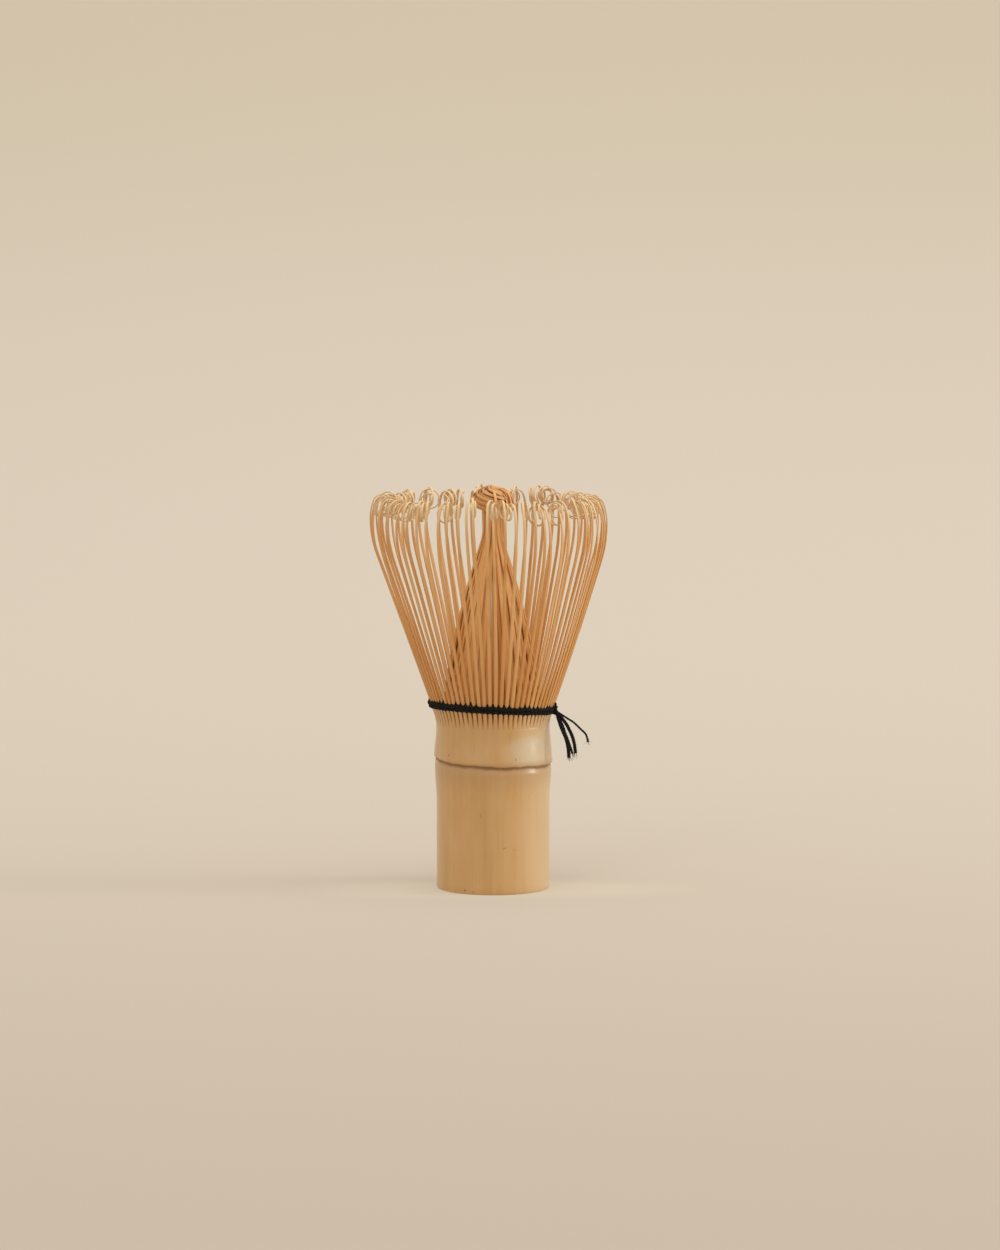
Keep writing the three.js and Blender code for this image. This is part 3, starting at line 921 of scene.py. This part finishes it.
def make_ends(cotton, draw):
    knot = around(KNOT_ANGLE, NECK_RADIUS + neck_flare(THREAD_Z) + 0.75, THREAD_Z - 0.7)
    for number, (route, radius) in enumerate(zip(THREAD_END_ROUTES, THREAD_END_RADII), 1):
        mesh = start_mesh()
        hang = [Vector(point) + TAIL_HANG + TAIL_SHORTEN * i for i, point in enumerate(route)]
        line = smooth_route([knot] + hang[1:], 20)
        twisted(mesh, line, radius, 1.3)
        ahead = (line[-1] - line[-3]).normalized()
        fray(mesh, line[-1] - ahead * 0.3, ahead, draw, FRAY_COUNT, FRAY_LENGTH)
        piece = finish_piece(f"thread_tail_{number}", mesh, [cotton])
        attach(piece, "handle")
        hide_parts(f"thread_end_{number}")


def make_knot(cotton):
    """A tight overhand knot with the last bight of thread standing up out of it."""
    mesh = start_mesh()
    centre = around(KNOT_ANGLE, NECK_RADIUS + neck_flare(THREAD_Z) + 0.55, THREAD_Z - 0.35)
    out = around(KNOT_ANGLE, 1, 0)
    side = tangent(KNOT_ANGLE)
    points = []
    for i in range(181):
        t = TAU * i / 180
        x = math.sin(t) + 2 * math.sin(2 * t)
        z = math.cos(t) - 2 * math.cos(2 * t)
        points.append(centre + side * x * 0.26 + Vector((0, 0, z * 0.33)) - out * math.sin(3 * t) * 0.34)
    twisted(mesh, points, 0.4, 1.4)
    bight = smooth_route((
        centre - side * 0.3,
        centre + out * 0.2 + Vector((0, 0, 0.8)),
        centre + out * 0.1 + Vector((0, 0, 1.55)),
        centre - out * 0.4 + Vector((0, 0, 1.5)) + side * 0.4,
        centre - out * 0.5 + side * 0.5), 12)
    twisted(mesh, bight, 0.3, 1.3)
    piece = finish_piece("thread_tie", mesh, [cotton])
    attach(piece, "handle")
    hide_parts("thread_knot")


# ---- the room ----

def make_sweep(paper):
    """A seamless sheet: floor in front, then a wide curve up into the wall."""
    mesh = bmesh.new()
    front = mesh.verts.new((-2.5, -2.2, 0))
    back = mesh.verts.new((-2.5, 0.27, 0))
    mesh.edges.new((front, back))
    bmesh.ops.spin(
        mesh, geom=[back], cent=(-2.5, 0.27, 1.3), axis=(1, 0, 0), angle=math.radians(90), steps=24)
    tip = max(mesh.verts, key=lambda v: v.co.z)
    wall = bmesh.ops.extrude_vert_indiv(mesh, verts=[tip])["verts"]
    bmesh.ops.translate(mesh, vec=(0, 0, 1.6), verts=wall)
    side = bmesh.ops.extrude_edge_only(mesh, edges=mesh.edges[:])["geom"]
    bmesh.ops.translate(mesh, vec=(5.0, 0, 0), verts=[v for v in side if isinstance(v, bmesh.types.BMVert)])
    bmesh.ops.recalc_face_normals(mesh, faces=mesh.faces)
    for face in mesh.faces:
        face.smooth = True
    data = bpy.data.meshes.new("paper_sweep")
    mesh.to_mesh(data)
    mesh.free()
    data.materials.append(paper)
    sweep = bpy.data.objects.new("paper_sweep", data)
    bpy.context.scene.collection.objects.link(sweep)


def add_lamp(name, at, towards, size, power, colour, spread=180, tall=1.0):
    lamp = bpy.data.lights.new(name, "AREA")
    lamp.shape = "ELLIPSE"
    lamp.size = size
    lamp.size_y = size * tall
    lamp.energy = power
    lamp.spread = math.radians(spread)
    lamp.color = colour
    holder = bpy.data.objects.new(name, lamp)
    holder.location = at
    holder.rotation_euler = (Vector(towards) - Vector(at)).to_track_quat("-Z", "Y").to_euler()
    bpy.context.scene.collection.objects.link(holder)


def light_room():
    world = bpy.data.worlds.new("room")
    world.use_nodes = True
    world.node_tree.nodes["Background"].inputs["Color"].default_value = shade(1.0, 0.985, 0.96)
    world.node_tree.nodes["Background"].inputs["Strength"].default_value = 0.645
    bpy.context.scene.world = world
    add_lamp("window", (1.3, -0.08, 0.38), (0, 0, 0.05), 0.24, 4.75, (1.0, 0.985, 0.955), tall=2.7)
    add_lamp("ceiling", (0.0, -0.05, 1.35), (0, 0.6, 0.0), 0.9, 2.85, (1.0, 0.985, 0.955), 115)
    add_lamp("left_lamp", (-0.58, -1.25, 1.16), (0, 0, 0.05), 0.42, 2.0, (1.0, 0.98, 0.95))
    add_lamp("right_lamp", (1.15, -0.35, 1.2), (0, 0, 0.05), 0.5, 1.4, (1.0, 0.98, 0.95))


def place_camera():
    """Level enough to see a little of the head's far side, from about 1.2 m."""
    camera = bpy.data.cameras.new("camera")
    camera.sensor_fit = "VERTICAL"
    camera.angle = math.radians(15.16)
    holder = bpy.data.objects.new("camera", camera)
    holder.location = (0.0018, -1.2, 0.186)
    holder.rotation_euler = (math.radians(90 - 5.62), 0, 0)
    bpy.context.scene.collection.objects.link(holder)
    bpy.context.scene.camera = holder
    bpy.context.scene.view_settings.view_transform = "Standard"


place_camera()
light_room()
make_sweep(pale_paper())

draw = random.Random(11)
OUTER_TINES = [grow_outer_tine(i, draw) for i in range(TINE_COUNT)]
CORE_TINES = [grow_core_tine(i, draw) for i in range(TINE_COUNT)]
for tine in OUTER_TINES:
    settle(tine)

skin = culm_skin()
outer_finish = shaved_bamboo(
    "tine_bamboo",
    light=shade(0.83, 0.478, 0.180), middle=shade(0.74, 0.378, 0.115), dark=shade(0.57, 0.230, 0.050),
    spread=0.15, deep_foot=0.38, pale_tips=0.85)
core_finish = shaved_bamboo(
    "core_bamboo",
    light=shade(0.83, 0.442, 0.154), middle=shade(0.765, 0.360, 0.102), dark=shade(0.52, 0.185, 0.038),
    spread=0.75, deep_foot=0.34, pale_tips=0.12)
cotton = black_cotton()

make_culm(skin, core_finish)
make_outer_tines(outer_finish)
make_core(core_finish)
make_rows(cotton)
make_knot(cotton)
make_ends(cotton, random.Random(5))
